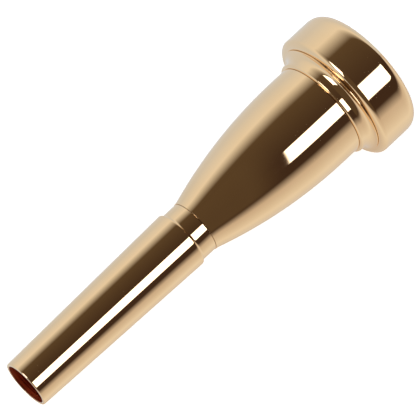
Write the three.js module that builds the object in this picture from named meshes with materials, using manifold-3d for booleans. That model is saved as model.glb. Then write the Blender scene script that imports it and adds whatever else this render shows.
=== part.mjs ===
// A heavy-bodied trumpet mouthpiece in gold-plated brass, made to come apart: a screw rim, a cup,
// a heavy jacket around the cup, a backbore with its tapered shank, and two rubber O-rings.
// Millimetres. The bore axis is X. Every section below is drawn with x measured from the shank tip,
// and the last lines move the whole mouthpiece so that the middle of its length is at the origin.

import * as THREE from "three";
import { mergeVertices } from "three/addons/utils/BufferGeometryUtils.js";
import Module from "manifold-3d";

const wasm = await Module();
wasm.setup();

// ---- Driving dimensions -------------------------------------------------------------------

const LENGTH = 87.7; // shank tip to the high point of the rim
const FACETS = 36; // flat sides around every turned surface
const ARC_STEPS = 4; // straight pieces in a small rounding
const CURVE_STEPS = 8; // straight pieces in a long curve
const SEAM = 0.05; // gap where two pieces butt together
const SLIP = 0.1; // radial gap where one piece turns inside another
const EDGE = 0.15; // broken sharp edge

// Shank: the standard 1 in 20 taper that enters the instrument's receiver
const TIP_RADIUS = 4.875;
const TAPER = 1 / 20;
const SHANK_LENGTH = 39.35;
const BORE_EXIT_RADIUS = 4.3;
const NECK_RADIUS = 5.4;
const NECK_END = 42.8;
const NECK_FILLET = 0.55; // length of the fillet at the front of the neck
const SHOULDER = { along: 0.4, across: 0.12 }; // rounded end of the shank

// Bore: the throat is the narrowest place, and the backbore flares from it to the tip
const THROAT_RADIUS = 1.83;
const BACKBORE_START = 70.2;
const FLARE_POWER = 0.75;

// Outside of the heavy body: a short hollow, then one long arc that ends level with the axis
const BODY_RADIUS = 9.88;
const BODY_END = 75.55;
const OGIVE_LEVEL = 72; // where the arc becomes level
const OGIVE_ARC_RADIUS = 97;
const HOLLOW_RADIUS = 5.51; // at the front end of the jacket
const HOLLOW_END = 44.6;
const HOLLOW_PULL = 1.3; // length of the arc's tangent that shapes the hollow

// Flange of the cup: a small bead, then a hollow cove up to a thin lip under the rim
const BEAD_RADIUS = 10.48;
const BEAD_ROUND = 0.4; // length of the bead's rounded front
const COVE = { along: 1.65, across: 1.5 };
const LIP_X = 78.1;
const LIP_RADIUS = BEAD_RADIUS + COVE.across;
const LIP_LENGTH = 0.22;

// Rim
const RIM_RADIUS = 13.54;
const RIM_START = LIP_X + LIP_LENGTH + SEAM;
const RIM_CORNER = { along: 1.1, across: 1.35 }; // rounding of the edge that faces the shank
const RIM_ROLL_START = 84.85;
const RIM_HIGH_RADIUS = 10.4; // middle of the high land that the lips press on
const RIM_LAND = 0.5; // width of that land
const RIM_ROLL_POWER = 2.25; // squareness of the outer roll: 2 is an ellipse
const BITE_RADIUS = 8.3; // where the rim's inner roll meets the cup
const BITE_X = 86.3;

// Bowl of the cup
const BOWL_RADIUS = 8.05;
const BOWL_TOP = 84.5;
const BOWL_DEPTH = 8.6; // below BOWL_TOP, if the bowl closed to a point
const THROAT_MOUTH_RADIUS = 2.5; // where the bowl rolls over into the throat
const THROAT_START = 74.4;

// Cup spigot inside the jacket, and the bore of the jacket
const SPIGOT_RADIUS = 7.2;
const SPIGOT_START = 57.6;
const TUBE_RADIUS = 4.7; // backbore inside the jacket
const JACKET_BORE = 4.85;

// Threads: both right-handed, and each lets go after THREAD_TURNS turns
const THREAD_TURNS = 3;
const RIM_THREAD = { pitch: 0.85, root: 9.7, crest: 10.2, start: 81.45 };
const SHANK_THREAD = { pitch: 1.0, root: 4.25, crest: 4.65, start: 65.2 };
const THREAD_GAP = 0.12; // clearance all round a thread
const RUN_IN = 1; // turns by which a cut thread runs out below the ridge that fits it
const RUN_OUT = 0.05; // turns by which it runs past the ridge's other end
const PILOT_RADIUS = 10.45; // plain seat on the cup, below the rim thread
const PILOT_END = 81.1;

// O-rings, each in a groove inside the piece that carries it
const RIM_SEAL = { x: 79.95, radius: 10.98, section: 0.45 };
const SHANK_SEAL = { x: 50, radius: 5.2, section: 0.45 };
const SEAL_SIDES = 8;
const GROOVE_GAP = 0.1;

// ---- Profile helpers: a profile is a list of [x, radius] ----------------------------------

// Points of a quarter turn from one corner to the other; power 2 is an ellipse, more is squarer.
// The curve leaves "from" along the radius and arrives at "to" along the axis.
function quarter(from, to, steps = ARC_STEPS, power = 2) {
  const points = [];
  for (let i = 0; i <= steps; i += 1) {
    const angle = (i / steps) * (Math.PI / 2);
    const along = 1 - Math.cos(angle) ** (2 / power);
    const across = Math.sin(angle) ** (2 / power);
    points.push([from[0] + (to[0] - from[0]) * along, from[1] + (to[1] - from[1]) * across]);
  }
  return points;
}

function shankRadius(x) {
  return TIP_RADIUS + (x * TAPER) / 2;
}

function backboreRadius(x) {
  const open = (1 - x / BACKBORE_START) ** FLARE_POWER;
  return THROAT_RADIUS + (BORE_EXIT_RADIUS - THROAT_RADIUS) * open;
}

function ogiveRadius(x) {
  const reach = Math.max(0, OGIVE_LEVEL - x);
  return BODY_RADIUS - OGIVE_ARC_RADIUS + Math.sqrt(OGIVE_ARC_RADIUS ** 2 - reach ** 2);
}

// The hollow runs out of the jacket's front end and meets the ogive without a corner
function hollow(front) {
  const end = new THREE.Vector2(HOLLOW_END, ogiveRadius(HOLLOW_END));
  const slope = Math.tan(Math.asin((OGIVE_LEVEL - HOLLOW_END) / OGIVE_ARC_RADIUS));
  const middle = new THREE.Vector2(end.x - HOLLOW_PULL, end.y - HOLLOW_PULL * slope);
  const start = new THREE.Vector2(front, HOLLOW_RADIUS);
  const bend = new THREE.QuadraticBezierCurve(start, middle, end);
  return bend.getPoints(ARC_STEPS).map((point) => [point.x, point.y]);
}

// Square groove for an O-ring in a bore, listed from the rim side
function groove(seal, bore) {
  const half = seal.section + GROOVE_GAP;
  const bottom = seal.radius + seal.section + SEAM;
  return [
    [seal.x + half, bore],
    [seal.x + half, bottom],
    [seal.x - half, bottom],
    [seal.x - half, bore],
  ];
}

// Evenly spaced points of a radius given by a formula
function curve(radiusAt, start, end, steps = CURVE_STEPS) {
  const points = [];
  for (let i = 0; i <= steps; i += 1) {
    const x = start + ((end - start) * i) / steps;
    points.push([x, radiusAt(x)]);
  }
  return points;
}

// ---- Solids -------------------------------------------------------------------------------

function onlyPositions(geometry) {
  geometry.deleteAttribute("normal");
  geometry.deleteAttribute("uv");
  return mergeVertices(geometry, 1e-5);
}

function toManifold(geometry) {
  const merged = onlyPositions(geometry);
  const mesh = new wasm.Mesh({
    numProp: 3,
    vertProperties: new Float32Array(merged.attributes.position.array),
    triVerts: new Uint32Array(merged.index.array),
  });
  return new wasm.Manifold(mesh);
}

function toGeometry(solid) {
  const mesh = solid.getMesh();
  const geometry = new THREE.BufferGeometry();
  geometry.setAttribute("position", new THREE.BufferAttribute(mesh.vertProperties, 3));
  geometry.setIndex(new THREE.BufferAttribute(mesh.triVerts, 1));
  geometry.computeVertexNormals();
  return geometry;
}

// Turns a closed profile about the X axis. The outside is listed from the shank end to the rim
// end, then the inside on the way back.
function turned(profile) {
  const points = profile.map(([x, radius]) => new THREE.Vector2(radius, x));
  points.push(points[0].clone());
  const geometry = new THREE.LatheGeometry(points, FACETS);
  geometry.rotateZ(-Math.PI / 2);
  return toManifold(geometry);
}

// A right-handed helix about X whose frames stay square to the axis
class Helix extends THREE.Curve {
  constructor(radius, pitch, start, fromTurn, toTurn) {
    super();
    Object.assign(this, { radius, pitch, start, fromTurn, toTurn });
  }

  turnAt(t) {
    return this.fromTurn + (this.toTurn - this.fromTurn) * t;
  }

  outwardAt(t) {
    const angle = 2 * Math.PI * this.turnAt(t);
    return new THREE.Vector3(0, Math.cos(angle), Math.sin(angle));
  }

  getPoint(t, target = new THREE.Vector3()) {
    target.copy(this.outwardAt(t)).multiplyScalar(this.radius);
    target.x = this.start + this.pitch * this.turnAt(t);
    return target;
  }

  getPointAt(t, target) {
    return this.getPoint(t, target); // the helix is already evenly spaced
  }

  computeFrenetFrames(segments) {
    const frames = { tangents: [], normals: [], binormals: [] };
    for (let i = 0; i <= segments; i += 1) {
      const outward = this.outwardAt(i / segments);
      frames.tangents.push(new THREE.Vector3(0, -outward.z, outward.y));
      frames.normals.push(outward);
      frames.binormals.push(new THREE.Vector3(-1, 0, 0));
    }
    return frames;
  }
}

// The ridge of a thread, a little sunk into its root
function threadRidge(thread, gap = 0, from = 0, to = THREAD_TURNS) {
  const sink = 0.25;
  const depth = thread.crest - thread.root;
  const crestHalf = thread.pitch * 0.12 + gap;
  const rootHalf = thread.pitch * 0.34 + gap;
  const flare = (rootHalf - crestHalf) / depth;
  const sunkHalf = rootHalf + flare * sink;
  const section = new THREE.Shape([
    new THREE.Vector2(-sink, -sunkHalf),
    new THREE.Vector2(depth + gap, -crestHalf),
    new THREE.Vector2(depth + gap, crestHalf),
    new THREE.Vector2(-sink, sunkHalf),
  ]);
  const path = new Helix(thread.root, thread.pitch, thread.start, from, to);
  const steps = Math.round((to - from) * FACETS);
  return toManifold(new THREE.ExtrudeGeometry(section, { steps, extrudePath: path }));
}

// What is cut away for a ridge: the same shape grown by a gap, and longer at both ends
function threadCut(thread) {
  return threadRidge(thread, THREAD_GAP, -RUN_IN, THREAD_TURNS + RUN_OUT);
}

function oRing(seal) {
  const ring = new THREE.TorusGeometry(seal.radius, seal.section, SEAL_SIDES, FACETS);
  ring.rotateY(Math.PI / 2);
  ring.translate(seal.x, 0, 0);
  return toManifold(ring);
}

// ---- The pieces ---------------------------------------------------------------------------

// Tapered shank, neck, and the long tube that passes through the jacket and screws into the cup
function backboreShank() {
  const shoulder = [SHANK_LENGTH - SHOULDER.along, shankRadius(SHANK_LENGTH - SHOULDER.along)];
  const step = [SHANK_LENGTH, shoulder[1] - SHOULDER.across];
  const threadEnd = SHANK_THREAD.start + SHANK_THREAD.pitch * THREAD_TURNS;
  const relief = SHANK_THREAD.start - SHANK_THREAD.pitch / 2;
  const outside = [
    [0, TIP_RADIUS - EDGE / 2],
    [EDGE, shankRadius(EDGE)],
    ...quarter(step, shoulder, ARC_STEPS).reverse(),
    ...quarter(step, [SHANK_LENGTH + NECK_FILLET, NECK_RADIUS], ARC_STEPS).slice(1),
    [NECK_END, NECK_RADIUS],
    [NECK_END, TUBE_RADIUS],
    [relief - EDGE, TUBE_RADIUS],
    [relief, SHANK_THREAD.root],
    [threadEnd + SHANK_THREAD.pitch, SHANK_THREAD.root],
    [BACKBORE_START, SHANK_THREAD.root - EDGE],
  ];
  const inside = curve(backboreRadius, BACKBORE_START, 0);
  return turned([...outside, ...inside]).add(threadRidge(SHANK_THREAD));
}

// Heavy shell with the long curved outline. It is bored for the backbore and counterbored for
// the cup's spigot.
function bodyJacket() {
  const front = NECK_END + SEAM;
  const counterbore = SPIGOT_RADIUS + SEAM;
  const outside = [
    ...hollow(front),
    ...curve(ogiveRadius, HOLLOW_END, OGIVE_LEVEL).slice(1),
    [BODY_END - SEAM, BODY_RADIUS],
  ];
  const inside = [
    [BODY_END - SEAM, counterbore],
    [SPIGOT_START - SEAM, counterbore],
    [SPIGOT_START - SEAM, JACKET_BORE],
    ...groove(SHANK_SEAL, JACKET_BORE),
    [front, JACKET_BORE],
  ];
  return turned([...outside, ...inside]);
}

// Bowl and throat, with a threaded boss for the rim above its flange and a threaded socket for
// the backbore in its spigot
function cup() {
  const bore = SHANK_THREAD.root + THREAD_GAP;
  const socketEnd = BACKBORE_START + SEAM;
  const socketStep = SHANK_THREAD.start - SHANK_THREAD.pitch / 2;
  const lipEnd = LIP_X + LIP_LENGTH;
  const cove = quarter([LIP_X, LIP_RADIUS], [LIP_X - COVE.along, BEAD_RADIUS]).reverse();
  const outside = [
    [SPIGOT_START, SPIGOT_RADIUS - EDGE],
    [SPIGOT_START + EDGE, SPIGOT_RADIUS],
    [BODY_END, SPIGOT_RADIUS],
    ...quarter([BODY_END, BODY_RADIUS], [BODY_END + BEAD_ROUND, BEAD_RADIUS]),
    ...cove,
    [lipEnd, LIP_RADIUS],
    [lipEnd, PILOT_RADIUS],
    [PILOT_END, PILOT_RADIUS],
    [PILOT_END, RIM_THREAD.root],
    [BOWL_TOP - EDGE, RIM_THREAD.root],
    [BOWL_TOP, RIM_THREAD.root - EDGE],
  ];
  const inside = [
    ...bowl(),
    [THROAT_START, THROAT_RADIUS],
    [socketEnd, THROAT_RADIUS],
    [socketEnd, bore],
    [socketStep, bore],
    [socketStep - EDGE, JACKET_BORE],
    [SPIGOT_START, JACKET_BORE],
  ];
  return turned([...outside, ...inside])
    .add(threadRidge(RIM_THREAD))
    .subtract(threadCut(SHANK_THREAD));
}

// The bowl is a quarter ellipse down to the mouth of the throat, where it rolls over
function bowl() {
  const mouth = Math.sqrt(1 - (THROAT_MOUTH_RADIUS / BOWL_RADIUS) ** 2);
  const radiusAt = (x) => BOWL_RADIUS * Math.sqrt(1 - ((BOWL_TOP - x) / BOWL_DEPTH) ** 2);
  return curve(radiusAt, BOWL_TOP, BOWL_TOP - BOWL_DEPTH * mouth);
}

// Screw rim: a plain heavy band outside, the bite and the top of the bowl inside
function rimRing() {
  const mouth = PILOT_RADIUS + SLIP;
  const shoulder = BOWL_TOP + SEAM;
  const minor = RIM_THREAD.root + THREAD_GAP;
  const corner = [RIM_START + RIM_CORNER.along, RIM_RADIUS];
  const landOuter = [LENGTH, RIM_HIGH_RADIUS + RIM_LAND / 2];
  const landInner = [LENGTH, RIM_HIGH_RADIUS - RIM_LAND / 2];
  const roll = quarter(landOuter, [RIM_ROLL_START, RIM_RADIUS], CURVE_STEPS / 2, RIM_ROLL_POWER);
  const outside = [
    [RIM_START, mouth + EDGE],
    ...quarter([RIM_START, RIM_RADIUS - RIM_CORNER.across], corner),
    ...roll.reverse(),
  ];
  const inside = [
    ...quarter(landInner, [BITE_X, BITE_RADIUS]),
    [shoulder, BOWL_RADIUS],
    [shoulder, minor],
    [PILOT_END + SEAM, minor],
    [PILOT_END + SEAM, mouth],
    ...groove(RIM_SEAL, mouth),
    [RIM_START + EDGE, mouth],
  ];
  return turned([...outside, ...inside]).subtract(threadCut(RIM_THREAD));
}

// ---- Materials ----------------------------------------------------------------------------

function goldPlate() {
  return new THREE.MeshStandardMaterial({ color: 0xf2d0a0, roughness: 0.08, metalness: 1 });
}

function sealRubber() {
  return new THREE.MeshStandardMaterial({ color: 0x1d1b1a, roughness: 0.65, metalness: 0 });
}

// ---- Assembly -----------------------------------------------------------------------------

function piece(name, solid, material) {
  const mesh = new THREE.Mesh(toGeometry(solid), material);
  mesh.name = name;
  return mesh;
}

const group = new THREE.Group();
group.add(
  piece("backbore_shank", backboreShank(), goldPlate()),
  piece("shank_o_ring", oRing(SHANK_SEAL), sealRubber()),
  piece("body_jacket", bodyJacket(), goldPlate()),
  piece("cup", cup(), goldPlate()),
  piece("rim_o_ring", oRing(RIM_SEAL), sealRubber()),
  piece("rim_ring", rimRing(), goldPlate()),
);
group.position.x = -LENGTH / 2;

export default group;
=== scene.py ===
"""A heavy-bodied trumpet mouthpiece in polished gold plate, lying on a white floor.

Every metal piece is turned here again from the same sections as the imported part, with fine steps,
eased edges and true helical threads. Sections are in millimetres, with x measured from the shank tip.
"""

import math

import bmesh
import bpy
import numpy as np
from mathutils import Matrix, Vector


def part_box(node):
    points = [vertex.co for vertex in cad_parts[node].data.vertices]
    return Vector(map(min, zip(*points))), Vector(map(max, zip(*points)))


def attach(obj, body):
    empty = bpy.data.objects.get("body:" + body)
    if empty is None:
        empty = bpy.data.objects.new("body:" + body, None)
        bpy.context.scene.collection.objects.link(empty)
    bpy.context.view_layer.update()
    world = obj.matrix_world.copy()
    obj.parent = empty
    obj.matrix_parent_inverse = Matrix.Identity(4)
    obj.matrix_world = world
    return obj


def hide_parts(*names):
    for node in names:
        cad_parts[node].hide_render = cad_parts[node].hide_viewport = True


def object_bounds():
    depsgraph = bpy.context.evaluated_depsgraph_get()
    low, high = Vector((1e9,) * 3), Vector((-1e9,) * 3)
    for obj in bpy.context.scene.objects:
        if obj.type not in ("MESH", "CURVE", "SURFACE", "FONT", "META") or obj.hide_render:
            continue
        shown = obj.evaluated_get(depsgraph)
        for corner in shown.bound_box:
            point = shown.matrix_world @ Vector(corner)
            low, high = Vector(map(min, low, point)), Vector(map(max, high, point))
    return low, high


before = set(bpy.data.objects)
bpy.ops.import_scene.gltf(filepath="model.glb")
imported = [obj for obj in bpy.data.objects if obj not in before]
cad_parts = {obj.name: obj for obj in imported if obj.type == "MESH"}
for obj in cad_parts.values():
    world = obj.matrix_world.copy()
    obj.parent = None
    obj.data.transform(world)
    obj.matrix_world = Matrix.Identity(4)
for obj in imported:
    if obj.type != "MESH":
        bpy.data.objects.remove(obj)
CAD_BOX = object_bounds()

MM = 0.001


def box_mm(node):
    """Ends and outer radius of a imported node, in millimetres from the shank tip."""
    low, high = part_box(node)
    return (low.x - TIP.x) / MM, (high.x - TIP.x) / MM, high.z / MM


# ---- Sizes --------------------------------------------------------------------------------------

TIP = CAD_BOX[0].copy()
_, BACKBORE_START, SHANK_END_RADIUS = box_mm("backbore_shank")
JACKET_FRONT, JACKET_END, BODY_RADIUS = box_mm("body_jacket")
SPIGOT_START, BOWL_TOP, LIP_RADIUS = box_mm("cup")
RIM_START, LENGTH, RIM_RADIUS = box_mm("rim_ring")

SEAM = 0.05  # gap where two pieces butt together
NECK_END = JACKET_FRONT - SEAM
BODY_END = JACKET_END + SEAM
EDGE = 0.15  # broken sharp edge
EASE = 0.04  # rounding of every other sharp edge

SHANK_LENGTH = 39.35
TAPER = 1 / 20
SHOULDER_ALONG, SHOULDER_ACROSS = 0.4, 0.12  # rounded end of the shank
TIP_RADIUS = SHANK_END_RADIUS - (SHANK_LENGTH - SHOULDER_ALONG) * TAPER / 2
BORE_EXIT_RADIUS = 4.3
NECK_RADIUS = 5.4
NECK_FILLET = 0.55

THROAT_RADIUS = 1.83
FLARE_POWER = 0.75

OGIVE_LEVEL = 72
OGIVE_ARC_RADIUS = 97
HOLLOW_RADIUS = 5.51
HOLLOW_END = 44.6
HOLLOW_PULL = 1.3

BEAD_RADIUS = 10.48
BEAD_ROUND = 0.4
COVE_LENGTH = 1.65
LIP_LENGTH = 0.22
LIP_X = RIM_START - SEAM - LIP_LENGTH

RIM_CORNER_ALONG, RIM_CORNER_ACROSS = 1.1, 1.35
RIM_ROLL_START = 84.85
RIM_HIGH_RADIUS = 10.4
RIM_LAND = 0.5
RIM_ROLL_POWER = 2.25
BITE_RADIUS, BITE_X = 8.3, 86.3

BOWL_RADIUS = 8.05
BOWL_DEPTH = 8.6
THROAT_MOUTH_RADIUS = 2.5
THROAT_START = 74.4

SPIGOT_RADIUS = 7.2
TUBE_RADIUS = 4.7
JACKET_BORE = 4.85

THREAD_TURNS = 3
THREAD_GAP = 0.12
CREST_SHARE, ROOT_SHARE = 0.12, 0.34  # half widths of the ridge, in pitches
WIDEST_ROOT = 0.48  # a groove's root never fills its whole pitch
ROOT_GAP = 0.8  # share of the thread gap added at a groove's root
FADE_TURN = 0.1  # turn over which a ridge fades in or out
RUN_OUT = 0.05
BLIND_TURNS = 0.7  # how far the socket's threaded length runs past the ridge's end
RIM_THREAD = {"pitch": 0.85, "root": 9.7, "crest": 10.2, "start": 81.45}
SHANK_THREAD = {"pitch": 1.0, "root": 4.25, "crest": 4.65, "start": 65.2}
PILOT_RADIUS = 10.45
PILOT_END = 81.1
SLIP = 0.1

RIM_SEAL = {"x": 79.95, "radius": 10.98, "section": 0.45}
SHANK_SEAL = {"x": 50, "radius": 5.2, "section": 0.45}
GROOVE_GAP = 0.1

COLUMNS = 240  # faces around a turned surface
RING_SIDES = 32  # faces around an O-ring's section
ARC_STEPS = 14
CURVE_STEPS = 48


# ---- Sections -----------------------------------------------------------------------------------


def quarter(start, end, steps=ARC_STEPS, power=2.0):
    """A quarter turn that leaves start along the radius and arrives at end along the axis."""
    points = []
    for i in range(steps + 1):
        angle = i / steps * math.pi / 2
        along = 1 - max(math.cos(angle), 0) ** (2 / power)
        across = math.sin(angle) ** (2 / power)
        points.append((start[0] + (end[0] - start[0]) * along, start[1] + (end[1] - start[1]) * across))
    return points


def curve(radius_at, start, end):
    return [(x, radius_at(x)) for x in np.linspace(start, end, CURVE_STEPS + 1)]


def shank_radius(x):
    return TIP_RADIUS + x * TAPER / 2


def backbore_radius(x):
    opening = max(0.0, 1 - x / BACKBORE_START) ** FLARE_POWER
    return THROAT_RADIUS + (BORE_EXIT_RADIUS - THROAT_RADIUS) * opening


def ogive_radius(x):
    reach = max(0.0, OGIVE_LEVEL - x)
    return BODY_RADIUS - OGIVE_ARC_RADIUS + math.sqrt(OGIVE_ARC_RADIUS**2 - reach**2)


def hollow():
    """The short hollow from the jacket's front end up to the ogive, which it meets without a corner."""
    slope = math.tan(math.asin((OGIVE_LEVEL - HOLLOW_END) / OGIVE_ARC_RADIUS))
    end = Vector((HOLLOW_END, ogive_radius(HOLLOW_END)))
    middle = end - HOLLOW_PULL * Vector((1, slope))
    start = Vector((JACKET_FRONT, HOLLOW_RADIUS))
    points = []
    for t in np.linspace(0, 1, ARC_STEPS + 1):
        point = start * (1 - t) ** 2 + middle * 2 * t * (1 - t) + end * t**2
        points.append((point.x, point.y))
    return points


def bowl_radius(x):
    return BOWL_RADIUS * math.sqrt(1 - ((BOWL_TOP - x) / BOWL_DEPTH) ** 2)


def groove(seal, bore):
    """Square groove for an O-ring in a bore, listed from the rim side."""
    half = seal["section"] + GROOVE_GAP
    bottom = seal["radius"] + seal["section"] + SEAM
    x = seal["x"]
    return [(x + half, bore), (x + half, bottom), (x - half, bottom), (x - half, bore)]


EASE_STEPS = 4
EASE_SHARE = 0.4  # most of a side that one eased corner may use
CORNER_TURN = math.radians(20)  # smaller turns are left as they are


def eased(points):
    """Rounds each sharp corner between the ends of an open section with a small arc."""
    result = [points[0]]
    for before, corner, after in zip(points, points[1:], points[2:]):
        corner_v = Vector(corner)
        back, ahead = Vector(before) - corner_v, Vector(after) - corner_v
        if min(back.length, ahead.length) < 1e-6:
            continue
        turn = math.pi - back.angle(ahead)
        if turn < CORNER_TURN:
            result.append(corner)
            continue
        cut = min(EASE, back.length * EASE_SHARE, ahead.length * EASE_SHARE)
        start, end = corner_v + back.normalized() * cut, corner_v + ahead.normalized() * cut
        for i in range(EASE_STEPS + 1):
            t = i / EASE_STEPS
            point = start * (1 - t) ** 2 + corner_v * 2 * t * (1 - t) + end * t**2
            result.append((point.x, point.y))
    result.append(points[-1])
    return result


# ---- Turned meshes ------------------------------------------------------------------------------

TURN = np.linspace(0, 1, COLUMNS + 1)  # share of a turn at each column
SHARP_ANGLE = math.radians(38)


def plain_rings(points):
    return [(np.full(COLUMNS + 1, x), np.full(COLUMNS + 1, radius)) for x, radius in points]


def thread_rings(thread, low, high, radius_at, half_widths):
    """Rings between x = low and x = high that run along the helix, so that every thread edge is crisp.

    radius_at(offset, turn) gives the radius, offset being the distance along x from the ridge's middle.
    """
    pitch, start = thread["pitch"], thread["start"]
    offsets = sorted([-pitch / 2] + [side * half for half in half_widths for side in (-1, 1)])
    rings = []
    for lap in range(math.floor((low - start) / pitch) - 2, math.ceil((high - start) / pitch) + 2):
        for offset in offsets:
            x = np.clip(start + pitch * (lap + TURN) + offset, low, high)
            laps = (x - start) / pitch - TURN
            nearest = np.round(laps)
            rings.append((x, radius_at((laps - nearest) * pitch, nearest + TURN)))
    return rings


def ramp(value, low, high):
    t = np.clip((value - low) / (high - low), 0, 1)
    return t * t * (3 - 2 * t)


def male_thread(thread, low, high):
    """The ridge stands on its root and fades in and out at its ends."""
    crest_half, root_half = thread["pitch"] * CREST_SHARE, thread["pitch"] * ROOT_SHARE
    depth = thread["crest"] - thread["root"]

    def radius_at(offset, turn):
        height = np.clip((root_half - np.abs(offset)) / (root_half - crest_half), 0, 1)
        fade = ramp(turn, 0, FADE_TURN) * (1 - ramp(turn, THREAD_TURNS - FADE_TURN, THREAD_TURNS))
        return thread["root"] + depth * height * fade

    return thread_rings(thread, low, high, radius_at, (crest_half, root_half))


def female_thread(thread, low, high):
    """The groove clears the ridge all round, runs out at the open end and fades at the blind end."""
    bore = thread["root"] + THREAD_GAP
    crest_half = thread["pitch"] * CREST_SHARE + THREAD_GAP
    root_half = min(thread["pitch"] * ROOT_SHARE + THREAD_GAP * ROOT_GAP, thread["pitch"] * WIDEST_ROOT)
    depth = thread["crest"] + THREAD_GAP - bore

    def radius_at(offset, turn):
        height = np.clip((root_half - np.abs(offset)) / (root_half - crest_half), 0, 1)
        fade = 1 - ramp(turn, THREAD_TURNS + RUN_OUT, THREAD_TURNS + 2 * RUN_OUT)
        return bore + depth * height * fade

    return thread_rings(thread, low, high, radius_at, (crest_half, root_half))[::-1]


def turned(name, rings, body, node, material, inner_material=None, is_inner=None):
    """A closed mesh from rings listed round the whole section: outside first, then the inside back."""
    angle = TURN * 2 * math.pi
    x = np.array([ring[0] for ring in rings]) * MM + TIP.x
    radius = np.array([ring[1] for ring in rings]) * MM
    points = np.stack([x, radius * np.cos(angle), radius * np.sin(angle)], axis=-1)
    count, width = len(rings), COLUMNS + 1
    mesh_builder = bmesh.new()
    vertices = [mesh_builder.verts.new(point) for point in points.reshape(-1, 3)]
    for i in range(count):
        following = (i + 1) % count
        for j in range(COLUMNS):
            corners = (i * width + j, i * width + j + 1, following * width + j + 1, following * width + j)
            mesh_builder.faces.new([vertices[k] for k in corners])
    bmesh.ops.remove_doubles(mesh_builder, verts=mesh_builder.verts, dist=2e-7)
    bmesh.ops.dissolve_degenerate(mesh_builder, edges=mesh_builder.edges, dist=1e-8)
    bmesh.ops.recalc_face_normals(mesh_builder, faces=mesh_builder.faces)
    mesh = bpy.data.meshes.new(name)
    mesh_builder.to_mesh(mesh)
    mesh_builder.free()
    mesh.materials.append(material)
    if inner_material:
        mesh.materials.append(inner_material)
        for face in mesh.polygons:
            if is_inner(face.center):
                face.material_index = 1
    mesh.shade_smooth()
    mesh.set_sharp_from_angle(angle=SHARP_ANGLE)
    piece = bpy.data.objects.new(name, mesh)
    bpy.context.scene.collection.objects.link(piece)
    weighted = piece.modifiers.new("even_normals", "WEIGHTED_NORMAL")
    weighted.weight = 90
    weighted.keep_sharp = True
    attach(piece, body)
    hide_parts(node)
    return piece


# ---- Material nodes -----------------------------------------------------------------------------


class Nodes:
    """A short way to write a node tree: each call adds a node and returns its output socket."""

    def __init__(self, tree):
        tree.nodes.clear()
        self.tree = tree

    def add(self, kind, output=0, settings=(), **inputs):
        node = self.tree.nodes.new(kind)
        for name, value in dict(settings).items():
            setattr(node, name, value)
        for name, value in inputs.items():
            key = int(name[1:]) if name[0] == "_" else name.replace("_", " ")
            self.put(node.inputs[key], value)
        return node.outputs[output]

    def put(self, socket, value):
        if isinstance(value, bpy.types.NodeSocket):
            self.tree.links.new(value, socket)
        else:
            socket.default_value = value

    def output(self, kind, shader):
        self.put(self.tree.nodes.new(kind).inputs["Surface"], shader)

    def math(self, operation, a, b=0.0):
        return self.add("ShaderNodeMath", settings={"operation": operation}, _0=a, _1=b)

    def dot(self, vector, direction):
        settings = {"operation": "DOT_PRODUCT"}
        return self.add("ShaderNodeVectorMath", "Value", settings, _0=vector, _1=direction)

    def smooth(self, value, low, high, to_low=0.0, to_high=1.0):
        """to_low below low, to_high above high, and a smooth step between."""
        settings = {"interpolation_type": "SMOOTHSTEP"}
        return self.add(
            "ShaderNodeMapRange", 0, settings, _0=value, _1=low, _2=high, _3=to_low, _4=to_high
        )

    def blend(self, share, a, b):
        node = self.tree.nodes.new("ShaderNodeMix")
        node.data_type = "RGBA"
        for socket, value in zip((node.inputs[0], node.inputs[6], node.inputs[7]), (share, a, b)):
            self.put(socket, value)
        return node.outputs[2]

    def noise(self, vector, scale, detail=2.0):
        return self.add("ShaderNodeTexNoise", "Fac", Vector=vector, Scale=scale, Detail=detail)


def new_material(name):
    material = bpy.data.materials.new(name)
    material.use_nodes = True
    return material, Nodes(material.node_tree)


def cylinder_coordinates(nodes):
    """Position, and the same as x, angle round the bore axis and distance from it."""
    place = nodes.add("ShaderNodeTexCoord", "Object")
    split = nodes.tree.nodes.new("ShaderNodeSeparateXYZ")
    nodes.put(split.inputs[0], place)
    x, y, z = split.outputs
    angle = nodes.math("ARCTAN2", z, y)
    squares = nodes.math("ADD", nodes.math("MULTIPLY", y, y), nodes.math("MULTIPLY", z, z))
    return place, x, angle, nodes.math("SQRT", squares)


LATHE_RINGS = 2600  # turning marks per metre, about
LATHE_DRIFT = 0.6  # how much a turning mark changes round the axis
MARK_DEPTH = 0.0000012


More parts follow.
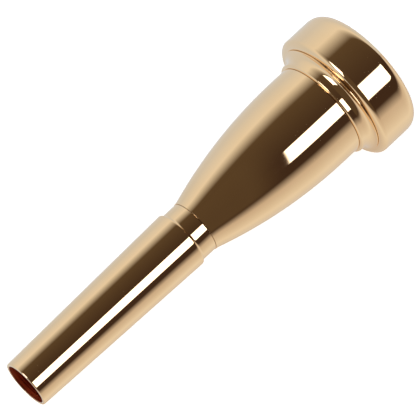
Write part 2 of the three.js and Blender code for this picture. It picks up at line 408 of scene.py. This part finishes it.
def gold(name, colour, deep_colour, roughness, marks, painted_ring_streaks=0.0, metallic=1.0):
    """Polished plate: faint turning marks, a slightly uneven polish and a slow change of tone."""
    material, nodes = new_material(name)
    place, x, angle, radius = cylinder_coordinates(nodes)
    lathe = nodes.add(
        "ShaderNodeCombineXYZ",
        X=nodes.math("MULTIPLY", nodes.math("ADD", x, radius), LATHE_RINGS),
        Y=nodes.math("MULTIPLY", nodes.math("COSINE", angle), LATHE_DRIFT),
        Z=nodes.math("MULTIPLY", nodes.math("SINE", angle), LATHE_DRIFT),
    )
    rings = nodes.noise(lathe, 1.0, 3.0)
    cloud = nodes.noise(place, 140.0, 3.0)
    fine = nodes.noise(place, 2400.0, 2.0)
    tone = nodes.blend(nodes.smooth(cloud, 0.3, 0.75, 0.0, 0.35), colour, deep_colour)
    # Darker turning rings towards deep_colour: in the bore these are painted reflection streaks.
    tone = nodes.blend(nodes.smooth(rings, 0.4, 0.6, 0.0, painted_ring_streaks), tone, deep_colour)
    shine = nodes.math(
        "ADD",
        nodes.smooth(cloud, 0.35, 0.8, roughness * 0.7, roughness * 1.35),
        nodes.smooth(fine, 0.55, 0.8, 0.0, roughness * 0.35),
    )
    height = nodes.math("ADD", nodes.math("MULTIPLY", rings, marks), nodes.math("MULTIPLY", cloud, 2.0))
    bump = nodes.add("ShaderNodeBump", Strength=1.0, Distance=MARK_DEPTH, Height=height)
    surface = nodes.add(
        "ShaderNodeBsdfPrincipled",
        Base_Color=tone,
        Metallic=metallic,
        Roughness=shine,
        Normal=bump,
    )
    nodes.output("ShaderNodeOutputMaterial", surface)
    return material


def rubber(name):
    material, nodes = new_material(name)
    place = nodes.add("ShaderNodeTexCoord", "Object")
    grain = nodes.noise(place, 5000.0, 3.0)
    cloud = nodes.noise(place, 500.0, 2.0)
    tone = nodes.blend(cloud, (0.008, 0.008, 0.008, 1), (0.02, 0.019, 0.018, 1))
    bump = nodes.add("ShaderNodeBump", Strength=0.5, Distance=0.00001, Height=grain)
    surface = nodes.add(
        "ShaderNodeBsdfPrincipled",
        Base_Color=tone,
        Roughness=nodes.smooth(grain, 0.3, 0.7, 0.45, 0.7),
        Normal=bump,
    )
    nodes.output("ShaderNodeOutputMaterial", surface)
    return material


GOLD = (1.0, 0.73, 0.456, 1)
DEEP_GOLD = (0.98, 0.69, 0.40, 1)
# Painted shade: the backbore's dark red stands in for the dim, reddened light of many bounces inside the
# gold-plated bore. It is not a copper finish.
BORE_SHADE_RED = (0.60, 0.11, 0.035, 1)
BORE_DEEP_SHADE_RED = (0.22, 0.02, 0.005, 1)

plate = gold("gold_plate", GOLD, DEEP_GOLD, 0.045, 0.35)
# The bore wall gets the painted shade colours, with ring streaks as painted reflection.
bore_painted_shade = gold("bore_wall_painted_shade", BORE_SHADE_RED, BORE_DEEP_SHADE_RED, 0.30, 6.0, painted_ring_streaks=1.0, metallic=0.65)
seal_rubber = rubber("seal_rubber")


# ---- The pieces ---------------------------------------------------------------------------------


def backbore_shank():
    shoulder = (SHANK_LENGTH - SHOULDER_ALONG, SHANK_END_RADIUS)
    step = (SHANK_LENGTH, SHANK_END_RADIUS - SHOULDER_ACROSS)
    relief = SHANK_THREAD["start"] - SHANK_THREAD["pitch"] / 2
    thread_end = SHANK_THREAD["start"] + SHANK_THREAD["pitch"] * (THREAD_TURNS + 1)
    root = SHANK_THREAD["root"]
    tip = [(0, (TIP_RADIUS + BORE_EXIT_RADIUS) / 2), (0, TIP_RADIUS - EDGE / 2), (EDGE, shank_radius(EDGE))]
    outside = eased([
        *tip,
        *quarter(step, shoulder)[::-1],
        *quarter(step, (SHANK_LENGTH + NECK_FILLET, NECK_RADIUS))[1:],
        (NECK_END, NECK_RADIUS),
        (NECK_END, TUBE_RADIUS),
        (relief - EDGE, TUBE_RADIUS),
        (relief, root),
        (relief + EDGE, root),
    ])
    end = eased([
        (thread_end, root),
        (BACKBORE_START - EDGE, root),
        (BACKBORE_START, root - EDGE),
        *curve(backbore_radius, BACKBORE_START, 0),
        (0, (TIP_RADIUS + BORE_EXIT_RADIUS) / 2),
    ])
    rings = plain_rings(outside) + male_thread(SHANK_THREAD, relief + EDGE, thread_end) + plain_rings(end)

    # The faces inside the backbore get the painted bore shade.
    def in_bore(point):
        radius = math.hypot(point.y, point.z) / MM
        x = (point.x - TIP.x) / MM
        return x > 0.1 and radius < backbore_radius(x) + 0.05

    return turned("backbore_shank_turned", rings, "shank", "backbore_shank", plate,
                  bore_painted_shade, in_bore)


def body_jacket():
    counterbore = SPIGOT_RADIUS + SEAM
    outside = [
        (JACKET_FRONT, (JACKET_BORE + HOLLOW_RADIUS) / 2),
        *hollow(),
        *curve(ogive_radius, HOLLOW_END, OGIVE_LEVEL)[1:],
        (JACKET_END, BODY_RADIUS),
    ]
    inside = [
        (JACKET_END, counterbore),
        (SPIGOT_START - SEAM, counterbore),
        (SPIGOT_START - SEAM, JACKET_BORE),
        *groove(SHANK_SEAL, JACKET_BORE),
        (JACKET_FRONT, JACKET_BORE),
        (JACKET_FRONT, (JACKET_BORE + HOLLOW_RADIUS) / 2),
    ]
    rings = plain_rings(eased(outside + inside))
    return turned("body_jacket_turned", rings, "cup_body", "body_jacket", plate)


def cup():
    bore = SHANK_THREAD["root"] + THREAD_GAP
    socket_end = BACKBORE_START + SEAM
    socket_step = SHANK_THREAD["start"] - SHANK_THREAD["pitch"] / 2
    blind_end = SHANK_THREAD["start"] + SHANK_THREAD["pitch"] * (THREAD_TURNS + BLIND_TURNS)
    lip_end = LIP_X + LIP_LENGTH
    root = RIM_THREAD["root"]
    cove = quarter((LIP_X, LIP_RADIUS), (LIP_X - COVE_LENGTH, BEAD_RADIUS))[::-1]
    mouth = math.sqrt(1 - (THROAT_MOUTH_RADIUS / BOWL_RADIUS) ** 2)
    outside = eased([
        (SPIGOT_START, (JACKET_BORE + SPIGOT_RADIUS) / 2),
        (SPIGOT_START, SPIGOT_RADIUS - EDGE),
        (SPIGOT_START + EDGE, SPIGOT_RADIUS),
        (BODY_END, SPIGOT_RADIUS),
        *quarter((BODY_END, BODY_RADIUS), (BODY_END + BEAD_ROUND, BEAD_RADIUS)),
        *cove,
        (lip_end, LIP_RADIUS),
        (lip_end, PILOT_RADIUS),
        (PILOT_END, PILOT_RADIUS),
        (PILOT_END, root),
        (PILOT_END + SEAM, root),
    ])
    inside = eased([
        (BOWL_TOP - 1.5 * EDGE, root),
        (BOWL_TOP - EDGE, root),
        (BOWL_TOP, root - EDGE),
        *curve(bowl_radius, BOWL_TOP, BOWL_TOP - BOWL_DEPTH * mouth),
        (THROAT_START, THROAT_RADIUS),
        (socket_end, THROAT_RADIUS),
        (socket_end, bore),
        (blind_end, bore),
    ])
    skirt = eased([
        (socket_step - EDGE, JACKET_BORE),
        (SPIGOT_START, JACKET_BORE),
        (SPIGOT_START, (JACKET_BORE + SPIGOT_RADIUS) / 2),
    ])
    rings = (
        plain_rings(outside)
        + male_thread(RIM_THREAD, PILOT_END + SEAM, BOWL_TOP - 1.5 * EDGE)
        + plain_rings(inside)
        + female_thread(SHANK_THREAD, socket_step, blind_end)
        + plain_rings(skirt)
    )
    return turned("cup_turned", rings, "cup_body", "cup", plate)


def rim_ring():
    mouth = PILOT_RADIUS + SLIP
    shoulder = BOWL_TOP + SEAM
    step = PILOT_END + SEAM
    minor = RIM_THREAD["root"] + THREAD_GAP
    land_outer = (LENGTH, RIM_HIGH_RADIUS + RIM_LAND / 2)
    land_inner = (LENGTH, RIM_HIGH_RADIUS - RIM_LAND / 2)
    roll = quarter(land_outer, (RIM_ROLL_START, RIM_RADIUS), CURVE_STEPS, RIM_ROLL_POWER)[::-1]
    corner = (RIM_START + RIM_CORNER_ALONG, RIM_RADIUS)
    start = eased([
        (RIM_START, (mouth + RIM_RADIUS) / 2),
        *quarter((RIM_START, RIM_RADIUS - RIM_CORNER_ACROSS), corner),
        *roll,
        *quarter(land_inner, (BITE_X, BITE_RADIUS), CURVE_STEPS // 2),
        (shoulder, BOWL_RADIUS),
        (shoulder, minor),
        (shoulder - SEAM, minor),
    ])
    end = eased([
        (step, mouth),
        *groove(RIM_SEAL, mouth),
        (RIM_START + EDGE, mouth),
        (RIM_START, mouth + EDGE),
        (RIM_START, (mouth + RIM_RADIUS) / 2),
    ])
    rings = plain_rings(start) + female_thread(RIM_THREAD, step, shoulder - SEAM) + plain_rings(end)
    return turned("rim_ring_turned", rings, "rim", "rim_ring", plate)


def o_ring(name, seal, body, node):
    angles = [2 * math.pi * i / RING_SIDES for i in range(RING_SIDES)]
    section = [
        (seal["x"] + seal["section"] * math.cos(a), seal["radius"] + seal["section"] * math.sin(a))
        for a in angles
    ]
    return turned(name, plain_rings(section), body, node, seal_rubber)


backbore_shank()
o_ring("shank_o_ring_moulded", SHANK_SEAL, "shank_seal", "shank_o_ring")
body_jacket()
cup()
o_ring("rim_o_ring_moulded", RIM_SEAL, "rim_seal", "rim_o_ring")
rim_ring()


# ---- Studio -------------------------------------------------------------------------------------

# The camera looks down on the mouthpiece with the shank tip a little nearer.
AZIMUTH, ELEVATION = math.radians(-45.1), math.radians(68.12)
DISTANCE = 0.6764
LENS = 318.7
AIM_ALONG, AIM_ASIDE = 0.00319, 0.00039

BACK = Vector((
    math.sin(AZIMUTH) * math.cos(ELEVATION),
    -math.cos(AZIMUTH) * math.cos(ELEVATION),
    math.sin(ELEVATION),
))
# Directions square to the bore axis: towards the camera, and a quarter turn from it
FACING = Vector((0, BACK.y, BACK.z)).normalized()
ASIDE = FACING.cross(Vector((-1, 0, 0)))


def camera():
    data = bpy.data.cameras.new("camera")
    data.lens = LENS
    data.clip_end = 10
    eye = bpy.data.objects.new("camera", data)
    eye.location = Vector((AIM_ALONG, 0, 0)) - ASIDE * AIM_ASIDE + BACK * DISTANCE
    eye.rotation_mode = "QUATERNION"
    eye.rotation_quaternion = (-BACK).to_track_quat("-Z", "Y")
    bpy.context.scene.collection.objects.link(eye)
    bpy.context.scene.camera = eye


DOME_RADIUS = 0.8
FAR = 0.5  # how much farther away than the dome the softboxes seem

COOL_WALL = (0.65, 0.70, 0.75, 1)
PALE_WALL = (0.80, 0.80, 0.75, 1)
WARM_WALL = (0.60, 0.55, 0.50, 1)
SHADE = (0.10, 0.07, 0.04, 1)
BLACK = (0.05, 0.03, 0.02, 1)
SOFTBOX = (3.0, 3.0, 3.0, 1)

KEY_BOX = ((12, 40), (0.1, 0.6))  # each softbox: its angles, and its shares along the bore axis
SIDE_BOX = ((-50, -20), (-0.9, -0.45))

# The room by angle round the bore axis, in degrees from the camera's side: pale walls all round, and
# a dark side where the camera stands.
ROOM = (
    (-180, COOL_WALL), (-120, COOL_WALL), (-80, PALE_WALL), (-50, SHADE), (20, BLACK), (60, BLACK),
    (80, WARM_WALL), (120, PALE_WALL), (180, WARM_WALL),
)


def dome():
    """A plain soft studio: a pale room, dark on the camera's side, with two softboxes."""
    bpy.ops.mesh.primitive_uv_sphere_add(segments=64, ring_count=32, radius=DOME_RADIUS)
    shell = bpy.context.object
    shell.name = "room"
    shell.visible_camera = False
    material, nodes = new_material("room")

    def polar(direction):
        """Share along the bore axis, and degrees round it from the camera's side."""
        radians = nodes.math("ARCTAN2", nodes.dot(direction, ASIDE), nodes.dot(direction, FACING))
        return nodes.dot(direction, (1, 0, 0)), nodes.math("MULTIPLY", radians, 180 / math.pi)

    def window(value, low, high, soft):
        rise = nodes.smooth(value, low - soft, low + soft)
        return nodes.math("MULTIPLY", rise, nodes.smooth(value, high - soft, high + soft, 1, 0))

    def softbox(angles, shares):
        across = window(far_angle, *angles, 1)
        return nodes.math("MULTIPLY", across, window(far_along, *shares, 0.01))

    place = nodes.add("ShaderNodeTexCoord", "Object")
    near = nodes.add("ShaderNodeVectorMath", 0, {"operation": "NORMALIZE"}, _0=place)
    ray = nodes.add("ShaderNodeNewGeometry", "Incoming")
    far = nodes.add("ShaderNodeVectorMath", 0, {"operation": "SCALE"}, _0=ray, Scale=-FAR)
    near_share = nodes.add("ShaderNodeVectorMath", 0, {"operation": "SCALE"}, _0=near, Scale=1 - FAR)
    far = nodes.add("ShaderNodeVectorMath", 0, {"operation": "ADD"}, _0=far, _1=near_share)
    along, angle = polar(near)
    far_along, far_angle = polar(far)

    walls = nodes.tree.nodes.new("ShaderNodeValToRGB")
    nodes.put(walls.inputs[0], nodes.math("ADD", nodes.math("DIVIDE", angle, 360), 0.5))
    elements = walls.color_ramp.elements
    for i, (degrees, colour) in enumerate(ROOM):
        position = degrees / 360 + 0.5
        element = elements[i] if i < 2 else elements.new(position)
        element.position = position
        element.color = colour

    # Past the shank tip the dark side is lit a little by the floor
    dark = nodes.math("MULTIPLY", window(angle, -40, 60, 10), nodes.smooth(along, -0.1, 0.1, 0.8, 0))
    colour = nodes.blend(dark, walls.outputs[0], SHADE)
    boxes = nodes.math("MAXIMUM", softbox(*KEY_BOX), softbox(*SIDE_BOX))
    glow = nodes.add("ShaderNodeEmission", Color=nodes.blend(boxes, colour, SOFTBOX))
    nodes.output("ShaderNodeOutputMaterial", glow)
    material.cycles.emission_sampling = "NONE"
    shell.data.materials.append(material)


FLOOR_HALF = 2.5
FLOOR_CLEARANCE = 0.00002


def floor():
    """A white floor that the mouthpiece rests on by its shank tip and by the corner of its rim."""
    rests = Vector((RIM_START + RIM_CORNER_ALONG, 0, RIM_RADIUS)) - Vector((0, 0, TIP_RADIUS))
    tilt = math.atan2(rests.z, rests.x)
    middle = Vector((TIP.x, 0, -TIP_RADIUS * MM - FLOOR_CLEARANCE))
    mesh = bpy.data.meshes.new("floor")
    along, across = Vector((math.cos(tilt), 0, -math.sin(tilt))), Vector((0, 1, 0))
    signs = ((-1, -1), (1, -1), (1, 1), (-1, 1))
    corners = [middle + along * a * FLOOR_HALF + across * b * FLOOR_HALF for a, b in signs]
    mesh.from_pydata(corners, [], [(0, 1, 2, 3)])
    sheet = bpy.data.objects.new("floor", mesh)
    bpy.context.scene.collection.objects.link(sheet)
    sheet.visible_glossy = False
    material, nodes = new_material("floor")
    paint = nodes.add("ShaderNodeBsdfDiffuse", Color=(0.85, 0.85, 0.85, 1))
    glow = nodes.add("ShaderNodeEmission", Color=(0.8, 0.8, 0.8, 1))
    lit = nodes.add("ShaderNodeAddShader", _0=paint, _1=glow)
    clear = nodes.add("ShaderNodeBsdfTransparent")
    below = nodes.add("ShaderNodeNewGeometry", "Backfacing")
    surface = nodes.add("ShaderNodeMixShader", _0=below, _1=lit, _2=clear)
    nodes.output("ShaderNodeOutputMaterial", surface)
    material.cycles.emission_sampling = "NONE"
    mesh.materials.append(material)


def backdrop():
    world = bpy.data.worlds.new("backdrop")
    world.use_nodes = True
    nodes = Nodes(world.node_tree)
    glow = nodes.add("ShaderNodeBackground", Color=(1, 1, 1, 1), Strength=1.0)
    nodes.output("ShaderNodeOutputWorld", glow)
    bpy.context.scene.world = world


camera()
dome()
floor()
backdrop()
bpy.context.scene.view_settings.view_transform = "Standard"
